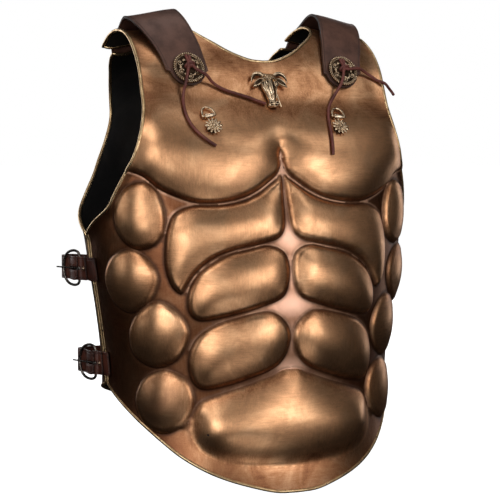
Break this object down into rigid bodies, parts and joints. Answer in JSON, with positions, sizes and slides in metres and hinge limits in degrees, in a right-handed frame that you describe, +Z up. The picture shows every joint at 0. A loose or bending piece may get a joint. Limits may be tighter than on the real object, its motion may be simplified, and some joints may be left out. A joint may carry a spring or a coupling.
{
  "type": "muscle cuirass",
  "caption": "Embossed muscle cuirass in aged bronze: breastplate and backplate joined by laced leather shoulder straps and buckled side straps.",
  "frame": {"origin": "midway between the shoulders, level with the top of the shoulder tabs, where the cuirass bears on its wearer and hangs from", "axes": "+Z up along the wearer's spine, +X to the wearer's left, -Y the way the wearer faces"},
  "size_m": [0.4216, 0.2463, 0.5283],
  "materials": {
    "aged_bronze": "copper-bronze rubbed bright on the swellings, dark brown patina in the creases, blackened inside",
    "antique_brass": "antiqued cast brass, dark in the recesses",
    "dark_brown_leather": "smooth dark brown harness leather",
    "oxblood_lace": "dark red-brown round leather lace",
    "dark_steel": "darkened steel buckles and rivets"
  },
  "bodies": {
    "cuirass": {"back_plate": "aged_bronze", "buckle_frame_lower_left": "dark_steel", "buckle_frame_lower_right": "dark_steel", "buckle_frame_upper_left": "dark_steel", "buckle_frame_upper_right": "dark_steel", "buckle_prong_lower_left": "dark_steel", "buckle_prong_lower_right": "dark_steel", "buckle_prong_upper_left": "dark_steel", "buckle_prong_upper_right": "dark_steel", "bull_head": "antique_brass", "concho_left": "antique_brass", "concho_right": "antique_brass", "front_plate": "aged_bronze", "lace_knot_left": "oxblood_lace", "lace_knot_right": "oxblood_lace", "lace_left_inner": "oxblood_lace", "lace_left_outer": "oxblood_lace", "lace_right_inner": "oxblood_lace", "lace_right_outer": "oxblood_lace", "ring_keeper_left": "antique_brass", "ring_keeper_right": "antique_brass", "rosette_left": "antique_brass", "rosette_right": "antique_brass", "shoulder_rivet_left": "antique_brass", "shoulder_rivet_right": "antique_brass", "shoulder_strap_left": "dark_brown_leather", "shoulder_strap_right": "dark_brown_leather", "side_strap_lower_left": "dark_brown_leather", "side_strap_lower_right": "dark_brown_leather", "side_strap_upper_left": "dark_brown_leather", "side_strap_upper_right": "dark_brown_leather", "side_tab_lower_left": "dark_brown_leather", "side_tab_lower_right": "dark_brown_leather", "side_tab_upper_left": "dark_brown_leather", "side_tab_upper_right": "dark_brown_leather", "strap_rivet_lower_left": "dark_steel", "strap_rivet_lower_right": "dark_steel", "strap_rivet_upper_left": "dark_steel", "strap_rivet_upper_right": "dark_steel", "tab_rivet_lower_left": "dark_steel", "tab_rivet_lower_right": "dark_steel", "tab_rivet_upper_left": "dark_steel", "tab_rivet_upper_right": "dark_steel"},
    "ring_left": {"chest_ring_left": "antique_brass"},
    "ring_right": {"chest_ring_right": "antique_brass"}
  },
  "joints": [
    {"name": "ring_left_turn", "type": "hinge", "parent": "cuirass", "child": "ring_left", "pos_m": [0.07626, -0.08339, -0.09442], "axis": [0.9919, -0.0533, -0.1155], "range_deg": [0, 150]},
    {"name": "ring_right_turn", "type": "hinge", "parent": "cuirass", "child": "ring_right", "pos_m": [-0.08131, -0.0832, -0.09446], "axis": [0.992, 0.0462, 0.1176], "range_deg": [0, 150]}
  ]
}
